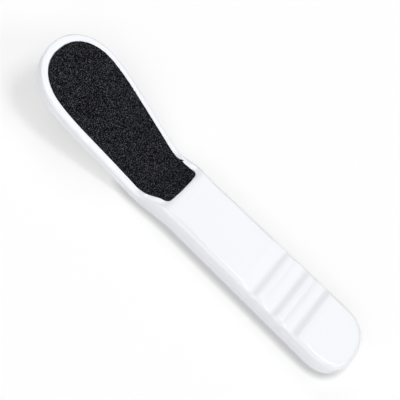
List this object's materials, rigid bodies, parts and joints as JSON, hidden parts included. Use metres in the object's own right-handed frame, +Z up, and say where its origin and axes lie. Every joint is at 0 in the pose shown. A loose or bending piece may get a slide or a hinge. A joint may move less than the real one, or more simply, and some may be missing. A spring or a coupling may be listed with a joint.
{
  "type": "foot file",
  "caption": "Double-sided foot file: a moulded handle with finger grooves carries a bent, rounded paddle head with an abrasive pad on each face.",
  "frame": {"origin": "middle of the length and width, on the flat surface that the underside of the handle rests on", "axes": "+X from the tip of the head to the butt of the handle, +Y across the width, +Z up, away from the surface"},
  "size_m": [0.24, 0.054, 0.0285],
  "materials": {
    "shell_plastic": "glossy white injection-moulded plastic",
    "adhesive_film": "pale amber adhesive film",
    "backing_cloth": "dark woven backing cloth",
    "coarse_grit": "coarse black abrasive grains with glinting facets",
    "fine_grit": "fine black abrasive grains"
  },
  "bodies": {
    "root": {"upper_shell": "shell_plastic", "lower_shell": "shell_plastic", "front_adhesive": "adhesive_film", "front_backing_cloth": "backing_cloth", "front_coarse_grit": "coarse_grit", "back_adhesive": "adhesive_film", "back_backing_cloth": "backing_cloth", "back_fine_grit": "fine_grit"}
  },
  "joints": []
}
